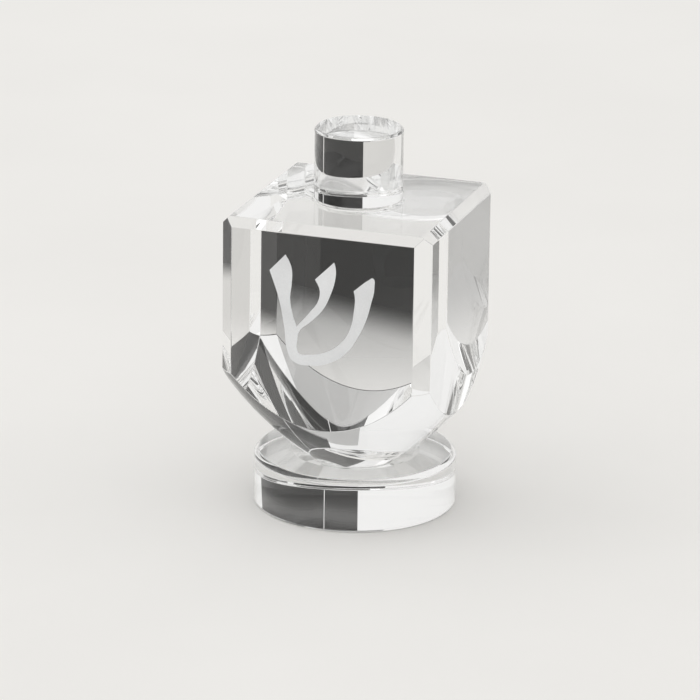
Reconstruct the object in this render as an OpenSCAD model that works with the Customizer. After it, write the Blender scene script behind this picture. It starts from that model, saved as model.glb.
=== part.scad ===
// Cut-crystal dreidel on a round stand.
// A square block ends below in a turned point with a flat tip, a round handle is bonded to its top,
// and the tip rests in a shallow seat ground into the stand, where the dreidel can be turned.
// Origin: centre of the stand's underside. +Z is up, -Y is the front side.

/* [Block] */
// Width of the block across its flat sides
block_w = 50; // [44:1:56]
// Height of the block from its flat tip to its top face
block_h = 61.5; // [56:0.5:80]
// Bevel on the upright edges, measured along each side
upright_bevel = 3.3; // [1:0.1:5]
// Bevel round the top face, measured along each side
top_bevel = 2; // [0.5:0.1:4]

/* [Point] */
// Diameter of the flat tip
tip_d = 21; // [16:0.5:24]
// Radius of the curve turned on the point
point_curve_r = 85; // [80:1:110]
// Slope of that curve where it meets the tip, in degrees from level
tip_slope = 36; // [30:1:38]

/* [Handle] */
// Diameter of the handle
handle_d = 20.4; // [14:0.2:30]
// Height of the handle
handle_h = 17; // [10:0.5:30]
// Bevel on the handle's two rims
handle_bevel = 0.6; // [0.2:0.1:1.5]

/* [Bond] */
// Thickness of the clear adhesive under the handle
bond_t = 0.15; // [0.1:0.05:0.4]
// Width of the adhesive's fillet on the block, outside the handle
bond_lip = 0.5; // [0.2:0.1:1.5]

/* [Stand] */
// Diameter of the stand
stand_d = 47; // [40:1:64]
// Height of the stand
stand_h = 12.5; // [8:0.5:20]
// Bevel on the stand's upper rim
stand_rim_bevel = 1.1; // [0.3:0.1:2]
// Bevel on the stand's lower rim
stand_foot_bevel = 0.5; // [0.2:0.1:1.5]
// Depth of the seat below the stand's top face
seat_depth = 1.2; // [0.6:0.1:3]
// Diameter of the seat's mouth in the stand's top face
seat_d = 30; // [28:0.5:36]
// Gap all round the tip on the seat's floor
seat_gap = 0.3; // [0.1:0.05:0.8]

/* [Hidden] */
$fn = 128;

// How far a cutting shape runs past what it cuts
overrun = 1;

crystal_colour = [0.93, 0.95, 0.96, 0.35];
bond_colour = [0.97, 0.97, 0.94, 0.35];

// Heights along the axis, from the table up
tip_z = stand_h - seat_depth;
block_top_z = tip_z + block_h;
handle_z = block_top_z + bond_t;

// The point's curve passes through the tip's edge at its slope, so its centre lies past the axis
point_curve_offset = point_curve_r * sin(tip_slope) - tip_d / 2;
point_curve_z = tip_z + point_curve_r * cos(tip_slope);
// Greatest radius that the curve reaches, beyond the block's upright edges
point_curve_reach = point_curve_r - point_curve_offset;

// Upright rectangle on the line y = 0 with its corners cut, the lower two and the upper two alike
module bevelled_section(width, height, lower, upper) {
    polygon([
        [-width / 2 + lower, 0],
        [width / 2 - lower, 0],
        [width / 2, lower],
        [width / 2, height - upper],
        [width / 2 - upper, height],
        [-width / 2 + upper, height],
        [-width / 2, height - upper],
        [-width / 2, lower],
    ]);
}

// Round piece turned about the axis, with both of its rims bevelled
module bevelled_disc(diameter, height, lower, upper) {
    rotate_extrude() intersection() {
        bevelled_section(diameter, height, lower, upper);
        square([diameter, height]);
    }
}

// The block's outline from one side, with its top bevels, run through from that side to the other
module side_slab() {
    rotate([90, 0, 0])
        linear_extrude(block_w + 2 * overrun, center = true)
            bevelled_section(block_w, block_h, 0, top_bevel);
}

// Square block with bevelled upright edges and a bevelled top, its underside at z = 0
module bevelled_prism() {
    intersection() {
        side_slab();
        rotate([0, 0, 90]) side_slab();
        linear_extrude(block_h)
            translate([0, -block_w / 2])
                bevelled_section(block_w, block_w, upright_bevel, upright_bevel);
    }
}

// Solid of the turned point: its curve from the tip outwards, carried straight up where it ends
module point_envelope() {
    rotate_extrude() intersection() {
        union() {
            translate([-point_curve_offset, point_curve_z]) circle(point_curve_r);
            translate([0, point_curve_z]) square([point_curve_reach, block_h]);
        }
        translate([0, tip_z]) square([point_curve_reach, block_h + overrun]);
    }
}

module block() {
    color(crystal_colour) intersection() {
        translate([0, 0, tip_z]) bevelled_prism();
        point_envelope();
    }
}

// Film of cured adhesive with the fillet that was pressed out round the handle's foot
module handle_bond() {
    color(bond_colour) translate([0, 0, block_top_z])
        rotate_extrude() polygon([
            [0, 0],
            [handle_d / 2 + bond_lip, 0],
            [handle_d / 2, bond_t + handle_bevel],
            [handle_d / 2 - handle_bevel, bond_t],
            [0, bond_t],
        ]);
}

module handle() {
    color(crystal_colour) translate([0, 0, handle_z])
        bevelled_disc(handle_d, handle_h, handle_bevel, handle_bevel);
}

// Cone that is ground away for the seat: a flat floor under the tip, wider at its mouth
module seat() {
    seat_slope = (seat_d - tip_d - 2 * seat_gap) / 2 / seat_depth;
    translate([0, 0, tip_z])
        cylinder(
            d1 = tip_d + 2 * seat_gap,
            d2 = seat_d + 2 * overrun * seat_slope,
            h = seat_depth + overrun
        );
}

module stand() {
    color(crystal_colour) difference() {
        bevelled_disc(stand_d, stand_h, stand_foot_bevel, stand_rim_bevel);
        seat();
    }
}

stand();
block();
handle_bond();
handle();
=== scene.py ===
import math

import bmesh
import bpy
from mathutils import Matrix, Vector


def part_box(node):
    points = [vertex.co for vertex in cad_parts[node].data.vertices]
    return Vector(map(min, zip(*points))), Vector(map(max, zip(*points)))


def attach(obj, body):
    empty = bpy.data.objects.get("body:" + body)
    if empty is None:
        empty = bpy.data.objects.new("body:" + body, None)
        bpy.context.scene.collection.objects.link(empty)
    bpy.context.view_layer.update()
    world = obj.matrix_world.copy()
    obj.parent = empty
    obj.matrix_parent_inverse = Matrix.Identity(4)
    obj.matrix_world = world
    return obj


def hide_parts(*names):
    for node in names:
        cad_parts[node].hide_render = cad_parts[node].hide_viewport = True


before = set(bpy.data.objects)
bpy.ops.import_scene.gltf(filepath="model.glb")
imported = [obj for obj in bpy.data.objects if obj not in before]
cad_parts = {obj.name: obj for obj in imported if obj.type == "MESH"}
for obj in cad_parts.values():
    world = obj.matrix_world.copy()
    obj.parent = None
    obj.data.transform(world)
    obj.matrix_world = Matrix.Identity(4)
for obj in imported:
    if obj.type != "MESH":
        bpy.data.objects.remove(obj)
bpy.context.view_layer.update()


# Camera. A long lens stands to the right of the lettered front and a little above it,
# about a metre away, so the upright edges stay nearly parallel.
MM = 0.001
camera_azimuth = math.radians(18.68)
camera_elevation = math.radians(18.5)
camera_roll = math.radians(0.74)
camera_distance = 1154.9 * MM
camera_aim = Vector((0, 0, 36.31 * MM))
camera_side_step = -1.467 * MM
# Floor directions as the camera sees them: to its right, and away from it
camera_right = Vector((math.cos(camera_azimuth), math.sin(camera_azimuth), 0))
camera_away = Vector((-math.sin(camera_azimuth), math.cos(camera_azimuth), 0))

camera_back = (Vector((0, 0, math.sin(camera_elevation)))
               - camera_away * math.cos(camera_elevation))
camera_up = camera_back.cross(camera_right)
camera_data = bpy.data.cameras.new("camera")
camera_data.sensor_width = 36
camera_data.lens = 257.14
camera = bpy.data.objects.new("camera", camera_data)
tilted_right = camera_right * math.cos(camera_roll) + camera_up * math.sin(camera_roll)
tilted_up = camera_up * math.cos(camera_roll) - camera_right * math.sin(camera_roll)
camera.matrix_world = (
    Matrix.Translation(camera_aim + camera_back * camera_distance + camera_right * camera_side_step)
    @ Matrix((tilted_right, tilted_up, camera_back)).transposed().to_4x4()
)
bpy.context.scene.collection.objects.link(camera)
bpy.context.scene.camera = camera
bpy.context.scene.view_settings.view_transform = "Standard"


# Table and room. A matt off-white table top under a pale, even room, which the crystal also
# shows from inside. Rays need many turns to find their way out of the cut block.
class Value:
    """A shader socket in one node tree, which takes part in Python sums."""

    def __init__(self, tree, socket=None):
        self.tree = tree
        self.socket = socket

    def node(self, kind, settings, sockets, output=0):
        """Adds a node: its settings first, then each input's value or link. Gives one output."""
        made = self.tree.nodes.new(kind)
        for name, setting in settings.items():
            if name == "stops":
                stops = made.color_ramp.elements
                while len(stops) < len(setting):
                    stops.new(1)
                for stop, (place, colour) in zip(stops, setting):
                    stop.position = place
                    stop.color = (*colour, 1)
            else:
                setattr(made, name, setting)
        for name, value in sockets.items():
            if isinstance(value, Value):
                self.tree.links.new(value.socket, made.inputs[name])
            else:
                made.inputs[name].default_value = value
        return Value(self.tree, made.outputs[output] if made.outputs else None)

    def maths(self, operation, first, second):
        return self.node("ShaderNodeMath", {"operation": operation}, {0: first, 1: second})

    def __add__(self, other):
        return self.maths("ADD", self, other)

    def __radd__(self, other):
        return self.maths("ADD", other, self)

    def __sub__(self, other):
        return self.maths("SUBTRACT", self, other)

    def __rsub__(self, other):
        return self.maths("SUBTRACT", other, self)

    def __mul__(self, other):
        return self.maths("MULTIPLY", self, other)

    def __rmul__(self, other):
        return self.maths("MULTIPLY", other, self)


def new_material(name):
    """A material with an empty node tree. Gives the material and a value to start from."""
    material = bpy.data.materials.new(name)
    material.use_nodes = True
    material.node_tree.nodes.clear()
    return material, Value(material.node_tree)


def show_surface(start, shader):
    start.node("ShaderNodeOutputMaterial", {}, {"Surface": shader})


def add_object(name, mesh, material):
    mesh.materials.append(material)
    made = bpy.data.objects.new(name, mesh)
    bpy.context.scene.collection.objects.link(made)
    return made


def flat_sheet(name, corners, material):
    """One flat face that belongs to the studio and not to the object."""
    mesh = bpy.data.meshes.new(name)
    mesh.from_pydata(corners, [], [range(len(corners))])
    sheet = add_object(name, mesh, material)
    return sheet


table_reach = 4.0
table_matt, start = new_material("table_matt")
place = start.node("ShaderNodeTexCoord", {}, {}, "Object")
mottle = start.node("ShaderNodeTexNoise", {}, {"Vector": place, "Scale": 9, "Detail": 3}, "Fac")
table_colour = start.node(
    "ShaderNodeValToRGB",
    {"stops": [(0.3, (0.88, 0.87, 0.85)), (0.7, (0.91, 0.90, 0.88))]},
    {"Fac": mottle},
)
# The crystal gathers light under the stand, so a pool of light is painted there: a faint glow in the
# table that makes it a little brighter
pool_r = 23 * MM
from_axis = start.node("ShaderNodeVectorMath", {"operation": "LENGTH"}, {0: place}, "Value")
painted_light_pool = start.node(
    "ShaderNodeValToRGB",
    {"stops": [(0.85, (0.20, 0.20, 0.195)), (1.0, (0, 0, 0))]},
    {"Fac": from_axis * (1 / pool_r)},
)
show_surface(start, start.node(
    "ShaderNodeBsdfPrincipled",
    {},
    {
        "Base Color": table_colour,
        "Roughness": 0.8,
        "Specular IOR Level": 0.0,
        "Emission Color": painted_light_pool,
        "Emission Strength": 1.0,
    },
))
# A film of air under the stand, so its underside mirrors from inside as polished crystal does
table_z = -0.05 * MM
flat_sheet(
    "table",
    [(x * table_reach, y * table_reach, table_z)
     for x, y in ((-1, -1), (1, -1), (1, 1), (-1, 1))],
    table_matt,
)

room = bpy.data.worlds.new("room")
bpy.context.scene.world = room
room.use_nodes = True
room.node_tree.nodes.clear()
start = Value(room.node_tree)
start.node(
    "ShaderNodeOutputWorld",
    {},
    {"Surface": start.node(
        "ShaderNodeBackground", {}, {"Color": (0.98, 0.975, 0.965, 1), "Strength": 0.91}
    )},
)

light_turns = 32
cycles = bpy.context.scene.cycles
cycles.max_bounces = light_turns
cycles.transmission_bounces = light_turns
cycles.glossy_bounces = light_turns


# Studio light. One wide soft lamp high on the left and one over the front. Dark and grey sheets
# stand round the crystal and hang over it, and only what leaves the crystal meets them, so they
# are painted dark and grey reflections that draw its dark sides and edges, like a studio's flags.
def soft_lamp(name, place, aim, width, power):
    """A round area lamp that faces the place it is aimed at, with both places in metres."""
    lamp_data = bpy.data.lights.new(name, "AREA")
    lamp_data.shape = "DISK"
    lamp_data.size = width
    lamp_data.energy = power
    lamp = bpy.data.objects.new(name, lamp_data)
    lamp.location = place
    lamp.rotation_euler = (Vector(aim) - Vector(place)).to_track_quat("-Z", "Y").to_euler()
    bpy.context.scene.collection.objects.link(lamp)


soft_lamp("left_lamp", place=(-1.1, -0.2, 1.3), aim=(0, 0, 0.05), width=1.4, power=1.5)
soft_lamp("front_lamp", place=(0.6, -1.5, 1.6), aim=(0, 0, 0.05), width=1.2, power=1.5)


def run_along(place, direction):
    """How far a place lies along a direction, as a shader value."""
    return place.node(
        "ShaderNodeVectorMath", {"operation": "DOT_PRODUCT"}, {0: place, 1: direction}, "Value"
    )


def fading(clear_place, solid_place):
    """How solid a sheet is that is clear at one place and solid at another, along a line."""
    clear_place = Vector(clear_place)
    run = Vector(solid_place) - clear_place

    def solidity(place):
        along = run_along(place, run / run.length_squared)
        return place.node(
            "ShaderNodeMapRange",
            {"interpolation_type": "SMOOTHSTEP"},
            {"Value": along - clear_place.dot(run) / run.length_squared},
        )

    return solidity


# Painted paler band on the sheets behind the stand: its height, the length that sets its rise to
# both ends, and half its width
band_height = 110 * MM
band_curve = 2520 * MM
band_half_width = 5 * MM


def level_band(place):
    """How solid a sheet behind the stand is that paints a soft, level band of paler reflection on the
    stand.
    """
    right = run_along(place, camera_right)
    off_band = run_along(place, (0, 0, 1)) - (right * right * (1 / band_curve) + band_height)
    return place.node(
        "ShaderNodeMapRange",
        {"interpolation_type": "SMOOTHSTEP"},
        {"Value": place.maths("ABSOLUTE", off_band, 0), "From Min": band_half_width, "From Max": 0},
    )


def painted_shade_sheet(name, corners, colour, solidity):
    """A sheet of painted shade that only the crystal shows, as solid as a function of the place says.
    """
    material, start = new_material(name)
    place = start.node("ShaderNodeTexCoord", {}, {}, "Object")
    # Clear for light that has already met the table, so the flags take nothing from its shadows
    met_table = start.node("ShaderNodeLightPath", {}, {}, "Diffuse Depth")
    show_surface(start, start.node(
        "ShaderNodeMixShader",
        {},
        {
            0: solidity(place) * met_table.maths("LESS_THAN", met_table, 0.5),
            1: start.node("ShaderNodeBsdfTransparent", {}, {}),
            2: start.node("ShaderNodeBsdfDiffuse", {}, {"Color": colour}),
        },
    ))
    sheet = flat_sheet(name, corners, material)
    sheet.visible_camera = False
    sheet.visible_diffuse = False
    sheet.visible_glossy = False
    sheet.visible_shadow = False


def floor_spot(right, away, height=0.0):
    """A place as the camera sees it: to its right, away from it and up, in millimetres."""
    return (camera_right * right + camera_away * away) * MM + Vector((0, 0, height * MM))


def upright_sheet(name, left, right, low, high, tone, solidity):
    """A grey sheet that stands between two floor spots, from one height to another."""
    painted_shade_sheet(
        name,
        [floor_spot(*left, low), floor_spot(*right, low),
         floor_spot(*right, high), floor_spot(*left, high)],
        (tone, tone, tone, 1),
        solidity,
    )


def painted_dark_flag(name, left, right, low, high, fade, tone):
    """An upright sheet of painted shade that turns solid over a short way above its lower edge."""
    upright_sheet(
        name, left, right, low, high, tone, fading((0, 0, low * MM), (0, 0, (low + fade) * MM))
    )


def shade(name, spots, height, colour, clear_spot, solid_spot):
    """A level sheet of painted shade over the table, with its corners and the line of its fading as
    floor spots.
    """
    painted_shade_sheet(
        name,
        [floor_spot(*spot, height) for spot in spots],
        (*colour, 1),
        fading(floor_spot(*clear_spot), floor_spot(*solid_spot)),
    )


# Behind the block: painted shade for the dark upper half of its front side, and its dark left edge
painted_dark_flag("low_flag", left=(-28, 166), right=(40, 113), low=0, high=30, fade=10, tone=0.005)
painted_dark_flag("edge_flag", left=(43, 130), right=(64, 130), low=8, high=30, fade=6, tone=0.02)

# Behind the handle: painted shade for its dark half, its left end and its mirrored foot. The slit
# between the sheets shows as a line of light.
painted_dark_flag("handle_flag", left=(-3, 60), right=(34, 49.4), low=61.5, high=100, fade=0.5, tone=0.005)
painted_dark_flag("handle_side_flag", left=(35.2, 48.6), right=(58, 15), low=61.5, high=84, fade=0.5, tone=0.005)
painted_dark_flag("handle_foot_flag", left=(35.2, 48.6), right=(42, 38.6), low=84, high=100, fade=0.5, tone=0.005)

# Behind the stand: painted shade for its dark half, again with a slit for a line of light,
# and a paler level band
painted_dark_flag("stand_flag", left=(-6, 300), right=(59.5, 300), low=84, high=136, fade=4, tone=0.03)
upright_sheet(
    "stand_band",
    left=(-6, 299), right=(59.5, 299), low=84, high=136, tone=0.13, solidity=level_band,
)
painted_dark_flag("stand_side_flag", left=(61, 300), right=(450, 220), low=84, high=166, fade=4, tone=0.02)
upright_sheet(
    "stand_side_band",
    left=(61, 299), right=(450, 219), low=84, high=166, tone=0.13, solidity=level_band,
)

# Far behind: painted shade for the grey crescent under the front side
painted_dark_flag("back_flag", left=(-120, 600), right=(230, 600), low=62, high=158, fade=10, tone=0.58)

# On the right, in front and overhead: painted shade for the dark facets at the lower left,
# in the block and the stand
painted_dark_flag("right_flag", left=(520, 140), right=(470, -171), low=190, high=1100, fade=40, tone=0.09)
painted_dark_flag("front_right_flag", left=(85, -31), right=(45, -78), low=84, high=116, fade=4, tone=0.09)
painted_dark_flag("front_flag", left=(45, -78), right=(20, -84), low=88, high=116, fade=4, tone=0.09)
shade(
    "overhead_flag",
    [(-110, 20), (900, 20), (900, -900), (-110, -900)],
    height=600, colour=(0.11, 0.11, 0.11), clear_spot=(0, 20), solid_spot=(0, -30),
)

# Just over the table, painted shade that only the crystal shows: the greys low on the front side,
# on the right side, on the left edge and in the handle's pale half
shade_height = 0.2
shade(
    "floor_shade",
    [(-40, 60), (34, 60), (34, 180), (-40, 180)],
    shade_height, colour=(0.34, 0.34, 0.335), clear_spot=(0, 60), solid_spot=(0, 180),
)
shade(
    "left_shade",
    [(-45, -400), (-45, 60), (-500, 200), (-700, -400)],
    shade_height, colour=(0.34, 0.34, 0.335), clear_spot=(-50, 0), solid_spot=(-100, 0),
)
shade(
    "edge_shade",
    [(50, 90), (140, 60), (200, 260), (50, 260)],
    shade_height, colour=(0.68, 0.67, 0.65), clear_spot=(0, 90), solid_spot=(0, 130),
)
shade(
    "far_shade",
    [(-200, 205), (0, 205), (0, 420), (-200, 420)],
    shade_height, colour=(0.70, 0.69, 0.67), clear_spot=(0, 205), solid_spot=(0, 225),
)


# Stand. A thick round disc of clear crystal with polished bevels on both rims. A shallow cone
# with a flat floor is ground into its top, and the dreidel stands loose in it.
ROUND_STEPS = 256
SHARP_EDGE = math.radians(12)
EASED_EDGE = 0.15 * MM


def turned_mesh(name, outline):
    """A solid turned about the upright axis from an outline of (radius, height), ends on the axis."""
    shape = bmesh.new()
    rings = []
    for radius, height in outline:
        if radius == 0:
            rings.append([shape.verts.new((0, 0, height))])
            continue
        angles = [2 * math.pi * step / ROUND_STEPS for step in range(ROUND_STEPS)]
        rings.append([
            shape.verts.new((radius * math.cos(angle), radius * math.sin(angle), height))
            for angle in angles
        ])
    for lower, upper in zip(rings, rings[1:]):
        for step in range(ROUND_STEPS):
            after = (step + 1) % ROUND_STEPS
            corners = [lower[step % len(lower)], lower[after % len(lower)],
                       upper[after % len(upper)], upper[step % len(upper)]]
            shape.faces.new(list(dict.fromkeys(corners)))
    bmesh.ops.recalc_face_normals(shape, faces=shape.faces)
    mesh = bpy.data.meshes.new(name)
    shape.to_mesh(mesh)
    shape.free()
    return mesh


def polish(piece):
    """Smooth shading, with each edge between two cut faces eased by a hair, as polishing leaves it."""
    piece.data.shade_smooth()
    piece.data.set_sharp_from_angle(angle=SHARP_EDGE)
    easing = piece.modifiers.new("eased_edges", "BEVEL")
    easing.width = EASED_EDGE
    easing.segments = 2
    easing.limit_method = "ANGLE"
    easing.angle_limit = SHARP_EDGE
    easing.harden_normals = True


def crystal(name, haze_scale):
    """Polished clear crystal: a faint grey-blue tint, with wiping marks and polishing haze."""
    material, start = new_material(name)
    place = start.node("ShaderNodeTexCoord", {}, {}, "Object")
    haze = start.node(
        "ShaderNodeTexNoise", {}, {"Vector": place, "Scale": haze_scale, "Detail": 4}, "Fac"
    )
    tint = start.node(
        "ShaderNodeValToRGB",
        {"stops": [(0.3, (0.985, 0.99, 0.99)), (0.7, (1.0, 1.0, 1.0))]},
        {"Fac": haze},
    )
    show_surface(start, start.node(
        "ShaderNodeBsdfPrincipled",
        {},
        {
            "Base Color": tint,
            "Roughness": haze * 0.02,
            "IOR": 1.52,
            "Transmission Weight": 1.0,
        },
    ))
    return material


stand_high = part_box("stand")[1]
stand_r = stand_high.x
stand_h = stand_high.z
rim_bevel = 1.1 * MM
foot_bevel = 0.5 * MM
seat_mouth_r = 15 * MM
seat_floor_r = 10.8 * MM
# A film of air stays under the tip, which is why its edge shows as a bright ring
air_film = 0.02 * MM
tip_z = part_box("block")[0].z

stand_mesh = turned_mesh("stand_crystal", [
    (0, 0),
    (stand_r - foot_bevel, 0),
    (stand_r, foot_bevel),
    (stand_r, stand_h - rim_bevel),
    (stand_r - rim_bevel, stand_h),
    (seat_mouth_r, stand_h),
    (seat_floor_r, tip_z - air_film),
    (0, tip_z - air_film),
])
stand = add_object("stand_crystal", stand_mesh, crystal("stand_crystal", haze_scale=60))
polish(stand)
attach(stand, "stand_body")
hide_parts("stand")


# Block. A square block of clear crystal, sawn and polished flat on its sides, with bevelled
# upright and top edges. Its lower end is turned on a lathe to a convex point with a flat tip.
block_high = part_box("block")[1]
half_w = block_high.x
block_top = block_high.z
upright_bevel = 3.3 * MM
top_bevel = 2 * MM
tip_r = 10.5 * MM
point_curve_r = 85 * MM
tip_slope = math.radians(36)
curve_offset = point_curve_r * math.sin(tip_slope) - tip_r
curve_z = tip_z + point_curve_r * math.cos(tip_slope)
POINT_RINGS = 40
SIDE_STEPS = 48
BEVEL_STEPS = 8


def point_height(radius):
    """Height of the turned curve at a distance from the axis."""
    return curve_z - math.sqrt(point_curve_r ** 2 - (radius + curve_offset) ** 2)


def block_mesh():
    """The block as one closed mesh: its turned point, its sides, its bevels and its top face."""
    shape = bmesh.new()
    flat_half = half_w - upright_bevel
    top_half = half_w - top_bevel
    # Where two top bevels and an upright bevel meet in one corner
    peak_half = half_w - upright_bevel / 2
    peak_z = block_top - (peak_half - top_half)

    # Plan of the block, once round from the front side's left end: each straight run in steps
    corners = []
    for turn in range(4):
        quarter = Matrix.Rotation(turn * math.pi / 2, 2)
        corners.append(quarter @ Vector((-flat_half, -half_w)))
        corners.append(quarter @ Vector((flat_half, -half_w)))
    plan = []
    runs = []
    for number, corner in enumerate(corners):
        following = corners[(number + 1) % len(corners)]
        steps = SIDE_STEPS if number % 2 == 0 else BEVEL_STEPS
        runs.append((len(plan), steps))
        plan += [corner.lerp(following, step / steps) for step in range(steps)]

    # The turned point, in rings from the flat tip out to the block's sides
    rings = []
    for ring in range(POINT_RINGS + 1):
        share = ring / POINT_RINGS
        verts = []
        for spot in plan:
            radius = tip_r + (spot.length - tip_r) * share
            flat = spot.normalized() * radius
            verts.append(shape.verts.new((flat.x, flat.y, point_height(radius))))
        rings.append(verts)
    shape.faces.new(rings[0])
    for inner, outer in zip(rings, rings[1:]):
        for step in range(len(plan)):
            after = (step + 1) % len(plan)
            shape.faces.new([inner[step], outer[step], outer[after], inner[after]])

    # Upright sides and bevels, the bevels round the top, and the top face
    skirt = rings[-1]
    shoulders = [shape.verts.new((*corner, block_top - top_bevel)) for corner in corners]
    peaks, tops = [], []
    for turn in range(4):
        quarter = Matrix.Rotation(turn * math.pi / 2, 2)
        peaks.append(shape.verts.new((*(quarter @ Vector((peak_half, -peak_half))), peak_z)))
        tops.append(shape.verts.new((*(quarter @ Vector((top_half, -top_half))), block_top)))
    for number, (first, steps) in enumerate(runs):
        edge = [skirt[(first + step) % len(plan)] for step in range(steps + 1)]
        left, right = shoulders[number], shoulders[(number + 1) % len(shoulders)]
        if number % 2 == 0:
            shape.faces.new([*edge, right, left])
        else:
            shape.faces.new([*edge, right, peaks[number // 2], left])
    for turn in range(4):
        before = turn - 1
        shape.faces.new([
            shoulders[2 * turn], shoulders[2 * turn + 1], peaks[turn], tops[turn],
            tops[before], peaks[before],
        ])
    shape.faces.new(tops)
    bmesh.ops.recalc_face_normals(shape, faces=shape.faces)
    mesh = bpy.data.meshes.new("block_crystal")
    shape.to_mesh(mesh)
    shape.free()
    return mesh


block_shape = block_mesh()
block = add_object("block_crystal", block_shape, crystal("block_crystal", haze_scale=40))
polish(block)
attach(block, "dreidel_body")
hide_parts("block")


# Letter. The traditional letter on the front side, sandblasted through a stencil: a frosted,
# whitish skin with a fine grain and crisp edges, which hardly has a depth.
letter_centre_z = 53 * MM
letter_skin = 0.03 * MM
grain_depth = 0.02 * MM
# Outline as (right, up) from the letter's centre in millimetres, and whether it turns a corner there
letter_outline = [
    (-8.7, 12.8, True), (-12.5, 8.7, True), (-10.2, 2.1, False), (-8.9, -4.2, False),
    (-7.9, -10.5, False), (-6.7, -12.3, False), (-2.7, -12.9, False), (2.1, -11.7, False),
    (6.1, -8.8, False), (8.5, -5.2, False), (10.5, -1.0, False), (11.7, 3.2, False),
    (12.5, 7.4, False), (12.1, 9.5, False), (11.3, 9.1, False), (7.6, 6.0, True),
    (7.9, 4.4, False), (7.7, 1.1, False), (6.9, -3.0, False), (4.9, -6.5, False),
    (1.3, -9.2, False), (-2.7, -10.3, False), (-5.3, -10.3, False), (-5.7, -9.7, False),
    (-5.7, -7.0, False), (-5.2, -4.9, False), (-2.7, -2.6, False), (0.5, 1.0, False),
    (2.1, 4.4, False), (3.2, 8.2, False), (3.3, 10.7, False), (2.9, 12.2, True),
    (-1.6, 7.7, True), (-0.5, 5.3, False), (-0.9, 2.5, False), (-2.7, -0.1, False),
    (-5.9, -4.0, True), (-7.0, -0.7, False), (-7.5, 2.5, False), (-7.2, 5.7, False),
    (-7.1, 9.0, False), (-7.6, 10.9, False),
]
letter_curve = bpy.data.curves.new("letter_frosted", "CURVE")
letter_curve.dimensions = "2D"
letter_curve.fill_mode = "BOTH"
letter_curve.extrude = letter_skin / 2
letter_curve.resolution_u = 10
spline = letter_curve.splines.new("BEZIER")
spline.use_cyclic_u = True
spline.bezier_points.add(len(letter_outline) - 1)
for point, (right, up, corner) in zip(spline.bezier_points, letter_outline):
    point.co = (right * MM, up * MM, 0)
    point.handle_left_type = point.handle_right_type = "VECTOR" if corner else "AUTO"
letter_drawing = bpy.data.objects.new("letter_drawing", letter_curve)
bpy.context.scene.collection.objects.link(letter_drawing)
bpy.context.view_layer.update()
letter_mesh = bpy.data.meshes.new_from_object(
    letter_drawing.evaluated_get(bpy.context.evaluated_depsgraph_get())
)
bpy.data.objects.remove(letter_drawing)
letter_mesh.transform(
    Matrix.Translation((0, -half_w - letter_skin, letter_centre_z))
    @ Matrix.Rotation(math.pi / 2, 4, "X")
)

frosted, start = new_material("frosted_letter")
place = start.node("ShaderNodeTexCoord", {}, {}, "Object")
grain = start.node("ShaderNodeTexNoise", {}, {"Vector": place, "Scale": 2600, "Detail": 2}, "Fac")
cloud = start.node("ShaderNodeTexNoise", {}, {"Vector": place, "Scale": 140, "Detail": 3}, "Fac")
frost_colour = start.node(
    "ShaderNodeValToRGB",
    {"stops": [(0.3, (0.76, 0.77, 0.78)), (0.7, (0.86, 0.87, 0.88))]},
    {"Fac": grain * 0.5 + cloud * 0.5},
)
show_surface(start, start.node(
    "ShaderNodeBsdfPrincipled",
    {},
    {
        "Base Color": frost_colour,
        "Roughness": 0.8 + grain * 0.2,
        "Alpha": 0.86 + cloud * 0.14,
        "Normal": start.node(
            "ShaderNodeBump", {}, {"Height": grain, "Strength": 0.3, "Distance": grain_depth}
        ),
    },
))
letter = add_object("letter_frosted", letter_mesh, frosted)
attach(letter, "dreidel_body")


# Bond. A film of clear adhesive, cured under the handle, with the thin fillet that was pressed
# out round the handle's foot. It reaches a little into the block, and the film of air that stays
# over it lets the handle's foot mirror at flat angles.
bond_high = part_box("handle_bond")[1]
handle_low, handle_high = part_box("handle")
handle_r = handle_high.x
handle_bevel = 0.6 * MM
wetting = 0.03 * MM
film_r = handle_r - handle_bevel
# The fillet is hollow, so partway up it stands only a little off the handle
fillet_waist = 0.12 * MM
fillet_waist_h = 0.3 * MM

bond_mesh = turned_mesh("bond_adhesive", [
    (0, block_top - wetting),
    (bond_high.x, block_top - wetting),
    (bond_high.x, block_top),
    (handle_r + fillet_waist, block_top + fillet_waist_h),
    (handle_r + air_film, bond_high.z),
    (film_r, handle_low.z - air_film),
    (0, handle_low.z - air_film),
])
bond_mesh.shade_smooth()
bond_mesh.set_sharp_from_angle(angle=SHARP_EDGE)
bond = add_object("bond_adhesive", bond_mesh, crystal("clear_adhesive", haze_scale=300))
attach(bond, "dreidel_body")
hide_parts("handle_bond")


# Handle. A short rod of clear crystal, turned and polished, with a fine bevel on both rims.
# Its lower end is bonded to the middle of the block's top face.
handle_mesh = turned_mesh("handle_crystal", [
    (0, handle_low.z),
    (handle_r - handle_bevel, handle_low.z),
    (handle_r, handle_low.z + handle_bevel),
    (handle_r, handle_high.z - handle_bevel),
    (handle_r - handle_bevel, handle_high.z),
    (0, handle_high.z),
])
handle = add_object("handle_crystal", handle_mesh, crystal("handle_crystal", haze_scale=90))
polish(handle)
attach(handle, "dreidel_body")
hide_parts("handle")
